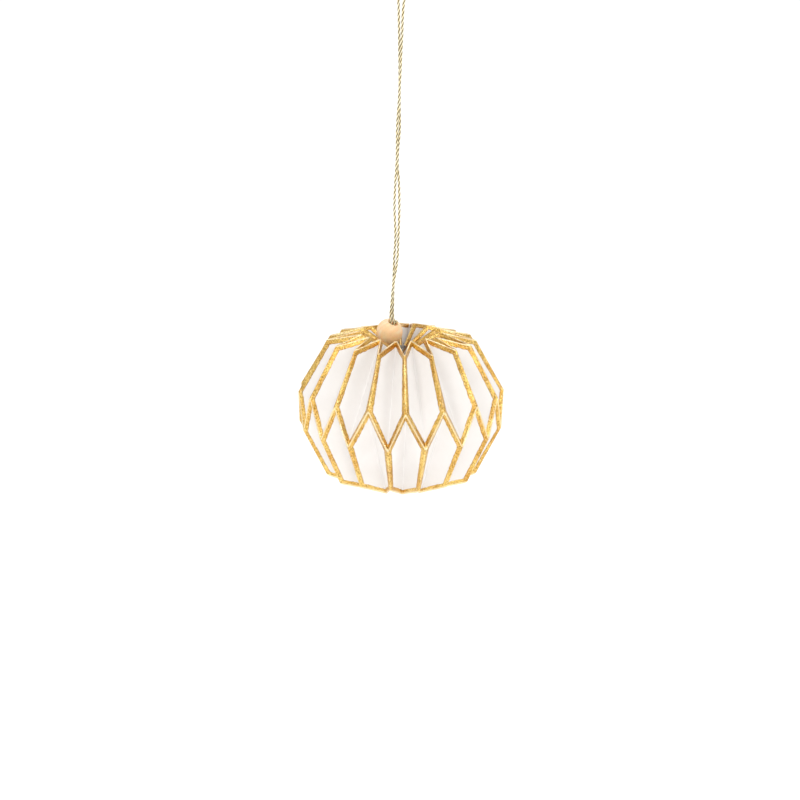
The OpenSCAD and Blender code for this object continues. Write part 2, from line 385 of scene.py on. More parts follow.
def add_mottle(tree: Tree, shader: bpy.types.Node, vector: Socket, scale: float, light: tuple,
               dark: tuple, roughness: float, spread: float) -> bpy.types.Node:
    """Adds the mottle group to a material and links its colour and roughness.

    Args:
        tree: The material's tree helper.
        shader: The material's shader.
        vector: The coordinates.
        scale: The patches' scale.
        light: The lighter colour.
        dark: The darker colour.
        roughness: The middle roughness.
        spread: How far the roughness swings.

    Returns:
        The group's node.
    """
    node = tree.add("ShaderNodeGroup", {
        "Vector": vector, "Scale": scale, "Light": light, "Dark": dark,
        "Roughness": roughness, "Spread": spread}, node_tree=MOTTLE)
    for output, target in (("Color", "Base Color"), ("Roughness", "Roughness")):
        tree.link(node.outputs[output], shader.inputs[target])
    return node


def bump(tree: Tree, principled: bpy.types.Node, height: Socket, strength: float,
         depth: float) -> None:
    """Feeds a height to a shader's normal through a Bump node.

    Args:
        tree: The material's tree helper.
        principled: The shader.
        height: The height.
        strength: The bump's strength.
        depth: The bump's distance in metres.
    """
    node = tree.add("ShaderNodeBump", {"Height": height, "Strength": strength,
                                       "Distance": depth})
    tree.link(node.outputs[0], principled.inputs["Normal"])


@dataclass(frozen=True)
class PaperFinish:
    """Heavy matt paper, warm white, with faint fibres."""

    light: tuple = (0.87, 0.848, 0.83, 1)
    dark: tuple = (0.835, 0.808, 0.785, 1)

    def material(self) -> bpy.types.Material:
        """Builds the paper's material.

        Returns:
            The material.
        """
        material, tree, shader = new_material("Heavy paper", Specular_IOR_Level=0.3)
        place = tree.place()
        mottle = add_mottle(tree, shader, place, 90, self.light, self.dark, 0.72, 0.12)
        fibres = tree.noise(place, 2600, 4.0, 1.5)
        height = tree.math("ADD", tree.math("MULTIPLY", mottle.outputs["Height"], 0.6), fibres)
        bump(tree, shader, height, 0.25, 0.05 * MM)
        return material


@dataclass(frozen=True)
class GiltFinish:
    """Foil stamped on paper: bright, crazed, painted with glints and a highlight along the folds,
    dark at its edges, with painted dark reflection at grazing angles.
    """

    light: tuple = (0.89, 0.62, 0.18, 1)
    dark: tuple = (0.64, 0.33, 0.06, 1)
    fleck: tuple = (0.22, 0.13, 0.03, 1)
    # Colour of the painted glints and of the painted highlight along the fold crests.
    painted_highlight: tuple = (1, 0.86, 0.58, 1)
    # Colour of the dark edge line and of the painted dark reflection at grazing angles.
    edge: tuple = (0.36, 0.16, 0.05, 1)

    def material(self) -> bpy.types.Material:
        """Builds the foil's material.

        Returns:
            The material.
        """
        material, tree, shader = new_material("Stamped foil", Metallic=1.0)
        place = tree.place()
        mottle = add_mottle(tree, shader, place, 150, self.light, self.dark, 0.3, 0.3)
        crazing = tree.noise(place, 2300, 3.0, 0.6)
        off_fold = tree.add("ShaderNodeAttribute", attribute_name="off_fold").outputs["Fac"]
        flecked = tree.mix(tree.ramp(crazing, 0.5, 0.61, 0, 0.75), mottle.outputs["Color"],
                           self.fleck)
        # Painted glints: random bright spots in the highlight colour, standing in for sparkles of
        # reflected light.
        glinting = tree.mix(tree.ramp(crazing, 0.44, 0.34, 0, 0.5), flecked, self.painted_highlight)
        # Painted highlight: a pale line along each fold's crest, where the fold catches the
        # light.
        painted_highlight = tree.mix(tree.ramp(off_fold, 0.06, 0.24, 0.65, 0), glinting, self.painted_highlight)
        # rim is a dark line along the foil's outer edge, plus painted dark reflection where the
        # foil is seen at a grazing angle.
        facing = tree.add("ShaderNodeLayerWeight", {"Blend": 0.3}).outputs["Facing"]
        rim = tree.math("MAXIMUM", tree.ramp(off_fold, 0.8, 1, 0, 0.75),
                        tree.ramp(facing, 0.62, 0.95, 0, 0.8))
        tree.link(tree.mix(rim, painted_highlight, self.edge), shader.inputs["Base Color"])
        bump(tree, shader, crazing, 0.9, 0.12 * MM)
        return material


@dataclass(frozen=True)
class WoodFinish:
    """Pale turned wood with a peach tint, with grain along the bore."""

    light: tuple = (1, 0.79, 0.54, 1)
    dark: tuple = (1, 0.63, 0.33, 1)

    def material(self, centre: Vector, turn: Matrix) -> bpy.types.Material:
        """Builds the wood's material.

        Args:
            centre: The bead's centre, which the grain is laid from.
            turn: The bead's turn, whose Z is its bore.

        Returns:
            The material.
        """
        material, tree, shader = new_material(
            "Turned wood", Coat_Weight=0.12, Coat_Roughness=0.35, Subsurface_Weight=0.4,
            Subsurface_Radius=(1, 0.6, 0.3), Subsurface_Scale=3 * MM,
            Sheen_Weight=0.6, Sheen_Roughness=0.6, Sheen_Tint=(1, 0.62, 0.3, 1))
        place = tree.place()
        angles = turn.to_euler()
        local = tree.add("ShaderNodeMapping", {
            "Vector": place, "Location": tuple(centre), "Rotation": tuple(angles)},
            vector_type="TEXTURE").outputs[0]
        along = tree.add("ShaderNodeMapping", {
            "Vector": local, "Location": (0.004, 0.002, 0), "Scale": (1, 1, 0.12)}).outputs[0]
        rings = tree.add("ShaderNodeTexWave", {
            "Vector": along, "Scale": 190, "Distortion": 3.5, "Detail": 3,
            "Detail Scale": 1.6}, wave_type="RINGS", rings_direction="Z").outputs["Fac"]
        pores = tree.noise(tree.add("ShaderNodeMapping", {
            "Vector": local, "Scale": (1, 1, 0.08)}).outputs[0], 5200, 2.0)
        mottle = add_mottle(tree, shader, local, 260, self.light, self.dark, 0.5, 0.15)
        grain = tree.ramp(rings, 0.1, 0.95, 0.0, 0.55)
        color = tree.mix(grain, mottle.outputs["Color"], self.dark)
        dotted = tree.mix(tree.ramp(pores, 0.6, 0.72, 0.0, 0.4), color,
                          (0.5, 0.28, 0.16, 1))
        tree.link(dotted, shader.inputs["Base Color"])
        bump(tree, shader, tree.math("SUBTRACT", rings, pores), 0.2, 0.04 * MM)
        return material


@dataclass(frozen=True)
class CordFinish:
    """Metallic yarn, each ply wound from fine straw-gold threads."""

    light: tuple = (1, 0.98, 0.78, 1)
    dark: tuple = (1, 0.84, 0.46, 1)
    # Colour of the painted shade in the hollows between the plies.
    hollow_shade: tuple = (0.13, 0.08, 0.015, 1)

    def material(self) -> bpy.types.Material:
        """Builds the cord's material: fine windings, and painted shade on the inner side of each
        ply, in the hollows between the plies.

        Returns:
            The material.
        """
        material, tree, shader = new_material("Metallic yarn", Metallic=0.08,
                                              Coat_Weight=0.6, Coat_Roughness=0.3)
        lay = tree.add("ShaderNodeUVMap", uv_map="lay").outputs[0]
        place = tree.place()
        mottle = add_mottle(tree, shader, place, 500, self.light, self.dark, 0.36, 0.3)
        across = tree.add("ShaderNodeSeparateXYZ", {0: lay}).outputs[1]
        # Painted shade: the side of each ply that faces the cord's middle is darkened towards the
        # hollow colour.
        inward_shade = tree.ramp(tree.math("ABSOLUTE", tree.math("SUBTRACT", across, 0.5)),
                           0.4, 0.28)
        stretched = tree.add("ShaderNodeMapping", {
            "Vector": lay, "Scale": (1, 3, 1)}).outputs[0]
        windings = tree.add("ShaderNodeTexWave", {
            "Vector": stretched, "Scale": 0.6, "Distortion": 0.8, "Detail": 1},
            bands_direction="DIAGONAL").outputs["Fac"]
        shaded = tree.mix(tree.math("MULTIPLY", windings, 0.35), mottle.outputs["Color"],
                          self.dark)
        color = tree.mix(inward_shade, shaded, self.hollow_shade)
        tree.link(color, shader.inputs["Base Color"])
        bump(tree, shader, windings, 0.5, 0.04 * MM)
        return material


@dataclass(frozen=True)
class PlainFinish:
    """One mottled colour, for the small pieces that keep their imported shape."""

    name: str
    light: tuple
    dark: tuple
    scale: float
    roughness: float
    spread: float
    relief: float
    depth: float
    shader: dict[str, float]

    def material(self) -> bpy.types.Material:
        """Builds the material.

        Returns:
            The material.
        """
        material, tree, shader = new_material(self.name, **self.shader)
        mottle = add_mottle(tree, shader, tree.place(), self.scale, self.light, self.dark,
                            self.roughness, self.spread)
        bump(tree, shader, mottle.outputs["Height"], self.relief, self.depth)
        return material


THREAD = PlainFinish("Sewing thread", (0.93, 0.92, 0.9, 1), (0.8, 0.78, 0.75, 1), 900, 0.8, 0.1,
                     0.5, 0.06 * MM, {"Sheen_Weight": 0.3})
STEEL = PlainFinish("Nickel plating", (0.62, 0.61, 0.6, 1), (0.45, 0.45, 0.46, 1), 600, 0.32, 0.2,
                    0.1, 0.02 * MM, {"Metallic": 1.0})


# The folded sheet


@dataclass
class SheetForm:
    """The middle surface of the folded sheet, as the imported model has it.

    A point on the sheet is given by u, which counts fold lines round the ball, and v,
    which counts bands down it: the top dimple, the upper half, the lower half and the
    bottom dimple. Even lines carry the ridges of the upper half.
    """

    pleats: int = 17
    ball_r: float = 40 * MM
    ridge_end_z: float = 6.8 * MM
    seam_angle: float = math.radians(173)
    top_shoulder: tuple[float, float] = (28.6 * MM, 26.4 * MM)
    top_nape: tuple[float, float] = (16.2 * MM, 29.2 * MM)
    bottom_shoulder: tuple[float, float] = (30.6 * MM, -25.8 * MM)
    bottom_nape: tuple[float, float] = (18.6 * MM, -30.6 * MM)
    dimple_ridge: float = 13.5 * MM
    dimple_step: float = 8 * MM
    ridge_slope: float = math.radians(27.5)
    crease_slope: float = math.radians(30)
    paper_t: float = 0.3 * MM
    fold_w: float = 0.46 * MM
    gilt_w: float = 1.6 * MM
    flap_w: float = 7 * MM
    edge_trim: float = 0.6 * MM
    hole_inset: float = 4.5 * MM
    hole_d: float = 2.2 * MM
    fold_reach: float = 0.05
    crease_reach: float = 0.016
    sway: float = 1.0
    lines: int = field(init=False)
    half_pitch: float = field(init=False)
    even_line: np.ndarray = field(init=False)
    odd_line: np.ndarray = field(init=False)
    pleat_w: float = field(init=False)

    def __post_init__(self) -> None:
        """Works out the two kinds of fold line and the unevenness of hand folding."""
        self.lines = 2 * self.pleats
        self.half_pitch = math.pi / self.pleats
        ridge = self.dimple_ridge * np.array([math.cos(self.ridge_slope),
                                              math.sin(self.ridge_slope)])
        crease = (self.dimple_ridge + self.dimple_step) * np.array(
            [math.cos(self.crease_slope), math.sin(self.crease_slope)])
        upturned = np.array([1, -1])
        top_shoulder, top_nape = np.array(self.top_shoulder), np.array(self.top_nape)
        bottom_shoulder = np.array(self.bottom_shoulder)
        bottom_nape = np.array(self.bottom_nape)
        self.even_line = np.array([top_shoulder - crease, top_shoulder,
                                   (self.ball_r, self.ridge_end_z),
                                   bottom_nape, bottom_nape - ridge * upturned])
        self.odd_line = np.array([top_nape - ridge, top_nape,
                                  (self.ball_r, -self.ridge_end_z),
                                  bottom_shoulder, bottom_shoulder - crease * upturned])
        draw = np.random.default_rng(SHEET_SEED)
        numbers = np.arange(self.lines + 2)
        away_from_seam = np.clip(np.minimum(numbers, self.lines - numbers) / 3, 0, 1)
        self._turn_sway = np.radians(self.sway) * draw.uniform(-1, 1, len(numbers))
        self._turn_sway *= away_from_seam
        self._size_sway = 0.4 * MM * self.sway * draw.uniform(-1, 1, (len(numbers), 5, 2))
        self._size_sway *= away_from_seam[:, None, None]
        self._size_sway[:, (0, 4)] *= 0.3
        self._bow = 0.3 * MM * self.sway * draw.uniform(-1, 1, (len(numbers), 4))
        self._bow *= away_from_seam[:, None]
        one, zero = np.array([1]), np.array([0])
        span = self.raw_line(one, np.array([1.0])) - self.raw_line(zero, np.array([1.0]))
        run = self.raw_line(one, np.array([2.0])) - self.raw_line(one, np.array([1.0]))
        run /= np.linalg.norm(run)
        self.pleat_w = float(np.linalg.norm(np.cross(span, run)))

    def angle(self, j: np.ndarray) -> np.ndarray:
        """Turns line numbers into angles from the front, about the ball's axis.

        Args:
            j: Line numbers.

        Returns:
            Angles in radians.
        """
        return self.seam_angle + j * self.half_pitch + self._turn_sway[j]

    def tangent(self, j: np.ndarray) -> np.ndarray:
        """Gives the directions round the ball at some fold lines.

        Args:
            j: Line numbers.

        Returns:
            Unit vectors.
        """
        a = self.angle(j)
        return np.stack([np.cos(a), np.sin(a), np.zeros_like(a)], axis=-1)

    def raw_line(self, j: np.ndarray, v: np.ndarray) -> np.ndarray:
        """Gives points on fold lines with sharp corners.

        Args:
            j: Line numbers.
            v: Places down the sheet.

        Returns:
            Points in the ornament's frame.
        """
        knots = np.arange(5)
        even = j % 2 == 0
        flat = []
        for axis in (0, 1):
            plain = np.where(even, np.interp(v, knots, self.even_line[:, axis]),
                             np.interp(v, knots, self.odd_line[:, axis]))
            band = np.clip(v.astype(int), 0, 3)
            share = v - band
            sway = (self._size_sway[j, band, axis] * (1 - share)
                    + self._size_sway[j, band + 1, axis] * share)
            flat.append(plain + sway)
        a = self.angle(j)
        return np.stack([flat[0] * np.sin(a), -flat[0] * np.cos(a), flat[1] - HANG], axis=-1)

    def line(self, j: np.ndarray, v: np.ndarray) -> np.ndarray:
        """Gives points on fold lines whose corners at the zigzag folds are rounded.

        Args:
            j: Line numbers.
            v: Places down the sheet.

        Returns:
            Points in the ornament's frame.
        """
        corner = np.clip(np.round(v), 1, 3)
        offset = v - corner
        near = np.abs(offset) < self.crease_reach
        before = self.raw_line(j, corner - self.crease_reach)
        after = self.raw_line(j, corner + self.crease_reach)
        apex = self.raw_line(j, corner)
        curve = through_apex(before, apex, after,
                             (offset / self.crease_reach + 1)[..., None] / 2)
        return np.where(near[..., None], curve, self.raw_line(j, v))

    def lap_shift(self, j: np.ndarray, v: np.ndarray) -> np.ndarray:
        """Gives the shift that lays the end flap over the first panel.

        Args:
            j: Line numbers.
            v: Places down the sheet.

        Returns:
            Shifts, which are zero away from the flap.
        """
        lapped = (j >= self.lines)[..., None]
        gaps = np.interp(v, LAP_STOPS, np.array(LAP_GAPS_MM) * MM)
        zero, one = np.zeros_like(j), np.ones_like(j)
        step = 0.04
        low = np.clip(v - step, np.floor(v - 1e-6), 4)
        across = self.raw_line(one, v) - self.raw_line(zero, v)
        down = self.raw_line(zero, v) - self.raw_line(zero, low - step)
        normal = unit(np.cross(down, across))
        return np.where(lapped, normal * gaps[..., None], 0)

    def wall(self, u: np.ndarray, v: np.ndarray) -> np.ndarray:
        """Gives points on the panels between fold lines, with blunt folds.

        Args:
            u: Places round the ball.
            v: Places down the sheet.

        Returns:
            Points in the ornament's frame.
        """
        j = np.clip(np.floor(u).astype(int), 0, self.lines)
        share = u - j
        half_fold = self.fold_w / 2
        left = self.line(j, v) + half_fold * self.tangent(j) + self.lap_shift(j, v)
        right = (self.line(j + 1, v) - half_fold * self.tangent(j + 1)
                 + self.lap_shift(j + 1, v))
        flat = left + (right - left) * share[..., None]
        band = np.clip(v.astype(int), 0, 3)
        down = self.raw_line(j, np.minimum(v + 0.02, band + 1)) - self.raw_line(
            j, np.maximum(v - 0.02, band))
        normal = unit(np.cross(down, right - left))
        bow = self._bow[j, band] * 4 * share * (1 - share) * np.sin(math.pi * (v - band))
        return flat + normal * bow[..., None]

    def at(self, u: np.ndarray, v: np.ndarray) -> np.ndarray:
        """Gives points on the sheet's middle surface, with rounded folds.

        Args:
            u: Places round the ball.
            v: Places down the sheet.

        Returns:
            Points in the ornament's frame.
        """
        j = np.clip(np.round(u).astype(int), 1, self.lines)
        offset = u - j
        near = np.abs(offset) < self.fold_reach
        apex = self.line(j, v) + self.lap_shift(j, v)
        curve = through_apex(self.wall(j - self.fold_reach, v), apex,
                             self.wall(j + self.fold_reach, v),
                             (offset / self.fold_reach + 1)[..., None] / 2)
        return np.where(near[..., None], curve, self.wall(u, v))

    def hole_ring(self, end: End) -> tuple[float, float]:
        """Gives the circle through the punched holes at one end of the sheet.

        Args:
            end: The end.

        Returns:
            The circle's radius and height.
        """
        first, second = (0, 1) if end is End.TOP else (4, 3)
        points = []
        for j, line in enumerate((self.even_line, self.odd_line)):
            run = line[second] - line[first]
            flat = line[first] + self.hole_inset * run / np.linalg.norm(run)
            a = self.half_pitch * j
            points.append(np.array([flat[0] * math.sin(a), flat[0] * math.cos(a), flat[1]]))
        middle = (points[0] + points[1]) / 2
        return float(np.hypot(middle[0], middle[1])), float(middle[2]) - HANG


def through_apex(first: np.ndarray, apex: np.ndarray, last: np.ndarray,
                 share: np.ndarray) -> np.ndarray:
    """Gives points on a curve from one point to another through a third.

    Args:
        first: The start.
        apex: The point that the curve passes half way.
        last: The end.
        share: The place along the curve, from 0 to 1.

    Returns:
        Points on the curve.
    """
    control = 2 * apex - (first + last) / 2
    return ((1 - share) ** 2 * first + 2 * share * (1 - share) * control + share ** 2 * last)


def offset_directions(points: np.ndarray, keep: np.ndarray) -> np.ndarray:
    """Gives at each point of a grid the move that lifts its cells by one unit.

    Args:
        points: The grid of points, row by row.
        keep: Whether each cell is there.

    Returns:
        One vector for each point.
    """
    diagonal_a = points[1:, 1:] - points[:-1, :-1]
    diagonal_b = points[:-1, 1:] - points[1:, :-1]
    normals = unit(np.cross(diagonal_a, diagonal_b)) * keep[..., None]
    rows, cols = points.shape[:2]
    products = np.zeros((rows, cols, 3, 3)) + 0.03 * np.eye(3)
    sums = np.zeros((rows, cols, 3))
    outer = normals[..., :, None] * normals[..., None, :]
    for down in (0, 1):
        for across in (0, 1):
            window = (slice(down, rows - 1 + down), slice(across, cols - 1 + across))
            products[window] += outer
            sums[window] += normals
    return np.linalg.solve(products, sums[..., None])[..., 0]


@dataclass
class FoldedGrid:
    """A grid of cells laid on the folded sheet, from one depth to another."""

    form: SheetForm
    name: str
    u: np.ndarray
    v: np.ndarray
    low: float
    high: float
    keep: np.ndarray | None = None
    off_fold: np.ndarray | None = None

    def build(self) -> bpy.types.Object:
        """Adds a flat grid, folds it into place and gives it its thickness.

        Returns:
            The folded piece.
        """
        rows, cols = self.u.shape
        deselect_all()
        bpy.ops.mesh.primitive_grid_add(x_subdivisions=cols - 1, y_subdivisions=rows - 1,
                                        size=2, location=(0, 0, 0), calc_uvs=False)
        piece = bpy.context.active_object
        piece.name = piece.data.name = self.name
        flat = np.empty(rows * cols * 3)
        piece.data.vertices.foreach_get("co", flat)
        flat = flat.reshape(-1, 3)
        col = np.rint((flat[:, 0] + 1) / 2 * (cols - 1)).astype(int)
        row = np.rint((1 - flat[:, 1]) / 2 * (rows - 1)).astype(int)
        numbers = piece.data.attributes.new("number", "INT", "POINT")
        numbers.data.foreach_set("value", row * cols + col)
        keep = np.ones((rows - 1, cols - 1), dtype=bool) if self.keep is None else self.keep
        if not keep.all():
            self.drop_cells(piece, keep)
        points = self.form.at(self.u, self.v)
        self.place(piece, points)
        apply_modifier(piece, "SOLIDIFY", thickness=self.high - self.low, offset=1)
        lifts = offset_directions(points, keep)
        self.place(piece, points + self.high * lifts, points + self.low * lifts)
        if self.off_fold is not None:
            shares = piece.data.attributes.new("off_fold", "FLOAT", "POINT")
            shares.data.foreach_set("value", self.off_fold.ravel()[self.numbers(piece)])
        piece.data.attributes.remove(piece.data.attributes["number"])
        return piece

    def numbers(self, piece: bpy.types.Object) -> np.ndarray:
        """Reads back which point of the grid each corner of a piece is.

        Args:
            piece: The piece.

        Returns:
            The points' numbers, counted along the rows.
        """
        found = np.empty(len(piece.data.vertices), dtype=int)
        piece.data.attributes["number"].data.foreach_get("value", found)
        return found

    def drop_cells(self, piece: bpy.types.Object, keep: np.ndarray) -> None:
        """Deletes the cells that the sheet doesn't have.

        Args:
            piece: The flat grid.
            keep: Whether each cell is there.
        """
        make_active(piece)
        bpy.ops.object.mode_set(mode="EDIT")
        bpy.ops.mesh.select_mode(type="FACE")
        bpy.ops.mesh.select_all(action="DESELECT")
        bpy.ops.object.mode_set(mode="OBJECT")
        corners = np.empty(len(piece.data.loops), dtype=int)
        piece.data.loops.foreach_get("vertex_index", corners)
        first = self.numbers(piece)[corners].reshape(-1, 4).min(axis=1)
        cols = self.u.shape[1]
        piece.data.polygons.foreach_set("select", ~keep[first // cols, first % cols])
        bpy.ops.object.mode_set(mode="EDIT")
        bpy.ops.mesh.delete(type="FACE")
        bpy.ops.object.mode_set(mode="OBJECT")

    def place(self, piece: bpy.types.Object, *layers: np.ndarray) -> None:
        """Puts a piece's corners at points of the grid, one layer after another.

        Args:
            piece: The piece.
            layers: The points of each layer.
        """
        numbers = self.numbers(piece)
        share = len(numbers) // len(layers)
        places = [layer.reshape(-1, 3)[numbers[k * share:(k + 1) * share]]
                  for k, layer in enumerate(layers)]
        piece.data.vertices.foreach_set("co", np.concatenate(places).ravel())
        piece.data.update()


class PaperBall:
    """The folded sheet and the foil stamped on its ridges."""

    ROW_STEP = 1.6 * MM
    GILT_STEP = 0.55 * MM
    FOLD_STOPS = (-1, -0.66, -0.33, 0, 0.33, 0.66, 1)
    GILT_LIFT = 0.012 * MM
    GILT_T = 0.03 * MM
    RAGGED = 0.045
    # Where a straight ridge's foil starts in off_fold, so its painted crest highlight is fainter
    # than on the zigzag folds.
    RIDGE_HIGHLIGHT_OFFSET = 0.14

    def __init__(self, form: SheetForm) -> None:
        """Keeps the sheet's form.

        Args:
            form: The sheet's form.
        """
        self.form = form
        self.gilt_share = form.gilt_w / form.pleat_w
        self.draw = np.random.default_rng(FOIL_SEED)

    def band_length(self, band: int, even: bool) -> float:
        """Gives a fold line's length in one band.

        Args:
            band: The band.
            even: Whether the line is an even one.

        Returns:
            The length in metres.
        """
        line = self.form.even_line if even else self.form.odd_line
        return float(np.linalg.norm(line[band + 1] - line[band]))

    def mean_length(self, band: int) -> float:
        """Gives the mean length of the two kinds of fold line in one band.

        Args:
            band: The band.

        Returns:
            The length in metres.
        """
        return (self.band_length(band, True) + self.band_length(band, False)) / 2

    def columns(self) -> np.ndarray:
        """Gives the sheet's columns: close at the folds and wide on the panels.

        Returns:
            Places round the ball.
        """
        reach = self.form.fold_reach
        panel = [self.gilt_share, 0.25, 0.42, 0.58, 0.75, 1 - self.gilt_share]
        stops = [self.form.edge_trim / self.form.pleat_w, 0.11, *panel[1:]]
        for j in range(1, self.form.lines + 1):
            stops += [j + s * reach for s in self.FOLD_STOPS]
            ahead = panel if j < self.form.lines else [
                *panel[:4], self.form.flap_w / self.form.pleat_w]
            stops += [j + s for s in ahead]
        return np.array(stops)

    def rows(self) -> np.ndarray:
        """Gives the sheet's rows: close at the zigzag folds and wide between them.

        Returns:
            Places down the sheet.
        """
        reach = self.form.crease_reach
        stops: list[float] = []
        for band in range(4):
            count = max(4, round(self.mean_length(band) / self.ROW_STEP))
            low = band + (reach if band else 0)
            high = band + 1 - (reach if band < 3 else 0)
            stops += list(np.linspace(low, high, count))
            if band < 3:
                stops += [band + 1 + s * reach for s in self.FOLD_STOPS[1:-1]]
        return np.array(stops)

    def sheet(self) -> bpy.types.Object:
        """Builds the folded sheet with its thickness and punched holes.

        Returns:
            The sheet.
        """
        u, v = np.meshgrid(self.columns(), self.rows())
        mid_u, mid_v = (u[:-1, :-1] + u[1:, 1:]) / 2, (v[:-1, :-1] + v[1:, 1:]) / 2
        flap_rows = np.any([(mid_v > low) & (mid_v < high) for low, high in FLAP_ROWS], axis=0)
        keep = (mid_u < self.form.lines + self.form.fold_reach) | flap_rows
        half = self.form.paper_t / 2
        piece = FoldedGrid(self.form, "folded_paper", u, v, -half, half, keep).build()
        for end in End:
            self.punch(piece, end)
        smooth(piece, 30)
        return piece

    def punch(self, piece: bpy.types.Object, end: End) -> None:
        """Cuts the ring of punched holes at one end of the sheet.

        Args:
            piece: The sheet.
            end: The end.
        """
        radius, height = self.form.hole_ring(end)
        deselect_all()
        bpy.ops.mesh.primitive_torus_add(
            major_radius=radius, minor_radius=self.form.hole_d / 2,
            major_segments=120, minor_segments=24, location=(0, 0, height))
        cutter = bpy.context.active_object
        apply_modifier(piece, "BOOLEAN", object=cutter, operation="DIFFERENCE",
                       solver="EXACT")
        bpy.data.objects.remove(cutter)

    def ragged(self, shape: tuple[int, ...]) -> np.ndarray:
        """Draws small shifts for the foil's edge, alike at neighbouring points.

        Args:
            shape: The shape of the array.

        Returns:
            Shifts as shares of the gilding's width.
        """
        rough = self.draw.normal(0, 1, shape)
        return self.RAGGED * np.clip(rough, -1.6, 1.6)

    def ridge_strip(self, j: int, band: int, sides: tuple[float, ...]) -> bpy.types.Object:
        """Builds the foil along one straight ridge.

        Args:
            j: The fold line.
            band: The band.
            sides: The strip's columns, as places beside the fold.

        Returns:
            The strip.
        """
        even = j % 2 == 0
        length = self.band_length(band, even)
        low = band + (0 if band == 0 else 0.5 * self.zigzag_reach(band) / length)
        high = band + 1 - (0 if band == 3 else 0.5 * self.zigzag_reach(band + 1) / length)
        v_stops = np.linspace(low, high, max(4, round(length / self.GILT_STEP)))
        u, v = np.meshgrid(j + np.array(sides), v_stops)
        ragged = self.ragged((len(v_stops), 2)) * self.gilt_share
        for col, sign in ((0, 0), (-1, 1)):
            if abs(sides[col]) > self.form.fold_reach:
                u[:, col] += ragged[:, sign]
        # off_fold places the painted crest highlight and the dark edge line.
        off_fold = self.RIDGE_HIGHLIGHT_OFFSET + (1 - self.RIDGE_HIGHLIGHT_OFFSET) * np.abs(u - j) / self.gilt_share
        return self.foil(f"foil_{j}_{band}", u, v, 1, off_fold)

    def foil(self, name: str, u: np.ndarray, v: np.ndarray, lifts: int,
             off_fold: np.ndarray) -> bpy.types.Object:
        """Builds one strip of foil.

        Args:
            name: The strip's name.
            u: Its points' places round the ball.
            v: Their places down the sheet.
            lifts: How many small lifts it lies above the paper.
            off_fold: The points' shares of the way from the fold to the strip's edge.

        Returns:
            The strip.
        """
        low = self.form.paper_t / 2 + lifts * self.GILT_LIFT
        return FoldedGrid(self.form, name, u, v, low, low + self.GILT_T,
                          off_fold=np.clip(off_fold, 0, 1)).build()

    def zigzag_reach(self, corner: int) -> float:
        """Gives the foil's reach along the fold lines at one zigzag fold.

        Args:
            corner: The zigzag fold's place down the sheet.

        Returns:
            The reach in metres.
        """
        j, v = np.array([0, 1]), np.array([corner, corner], dtype=float)
        ends = self.form.raw_line(j, v)
        return self.gilt_share * float(np.linalg.norm(ends[1] - ends[0]))

    def zigzag_strip(self, corner: int) -> bpy.types.Object:
        """Builds the foil along one zigzag fold, all round the ball.

        Args:
            corner: The zigzag fold's place down the sheet.

        Returns:
            The strip.
        """
        form = self.form
        reach = form.fold_reach
        panel = np.linspace(reach, 1 - reach, 22)[1:-1]
        stops = [form.edge_trim / form.pleat_w, *panel]
        for j in range(1, form.lines):
            stops += [j + s * reach for s in self.FOLD_STOPS]
            stops += list(j + panel)
        stops.append(form.lines - reach)
        columns = np.array(stops)
        share = columns % 1
        even_share = np.where(np.floor(columns) % 2 == 0, 1 - share, share)
        above, below = ((even_share / self.band_length(band, True)
                         + (1 - even_share) / self.band_length(band, False))
                        for band in (corner - 1, corner))
        wide = self.zigzag_reach(corner)
        rows = [corner - wide * above * (1 + self.ragged((len(columns), 1))[:, 0])]
        rows += [np.full(len(columns), corner + s * form.crease_reach)
                 for s in self.FOLD_STOPS]
        rows.append(corner + wide * below * (1 + self.ragged((len(columns), 1))[:, 0]))
        v = np.stack(rows)
        u = np.broadcast_to(columns, v.shape)
        off_fold = np.abs(v - corner) * self.mean_length(corner) / wide
        return self.foil(f"foil_zigzag_{corner}", u, v, 2, off_fold)

    def gilding(self) -> bpy.types.Object:
        """Builds the foil on every outward fold.

        Returns:
            The foil.
        """
        form, share = self.form, self.gilt_share
        rounded = [s * form.fold_reach for s in self.FOLD_STOPS]
        whole = (-share, *rounded, share)
        strips = [self.zigzag_strip(corner) for corner in (1, 2, 3)]
        for band in range(4):
            for j in range(form.lines + 1):
                if (j % 2 == 0) != (band in (1, 3)):
                    continue
                sides = whole
                if j == 0:
                    sides = (form.edge_trim / form.pleat_w, share)
                elif j == form.lines:
                    sides = (-share, -form.fold_reach)
                strips.append(self.ridge_strip(j, band, sides))
        piece = join_pieces(strips, "gilded_folds")
        smooth(piece, 30)
        return piece

    def build(self) -> None:
        """Builds and dresses the sheet and its foil."""
        sheet = self.sheet()
        dress(sheet, PaperFinish().material(), Slot.PAPER)
        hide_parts(Part.PAPER.value)
        gilding = self.gilding()
        dress(gilding, GiltFinish().material(), Slot.GILDING)
        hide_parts(Part.GILT.value)


# The bead and the cord


